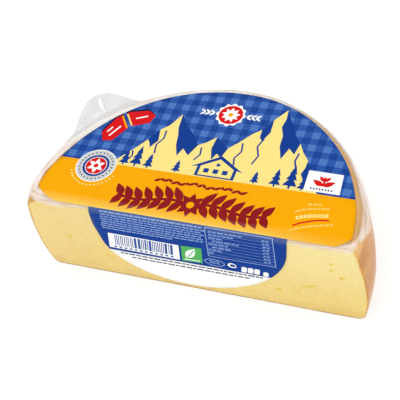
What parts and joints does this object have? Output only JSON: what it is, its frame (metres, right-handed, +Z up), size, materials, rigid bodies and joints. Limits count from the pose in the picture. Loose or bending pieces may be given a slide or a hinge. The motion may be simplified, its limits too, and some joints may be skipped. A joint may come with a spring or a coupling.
{
  "type": "half wheel of mondseer cheese in a film pack",
  "caption": "Half wheel of washed-rind mondseer cheese, cut face to the front, vacuum-packed in clear film with an opening tab and a label that folds over the edge.",
  "frame": {"origin": "on the table, under the middle of the pack's bounding box", "axes": "+Z up through the flat top, +X to the right along the cut face, +Y away from the cut face towards the curved rind"},
  "size_m": [0.1554, 0.0823, 0.0517],
  "materials": {
    "cheese": "pale yellow semi-soft paste with a few small eyes",
    "rind": "thin washed rind, orange-tan and slightly mottled",
    "film": "clear vacuum film, tight and glossy, milky and crumpled along the seal",
    "label": "printed label, semi-gloss: blue check, orange band, blue flap with a white end"
  },
  "bodies": {
    "root": {"wrapped_cheese": "cheese", "label": "label"}
  },
  "joints": []
}
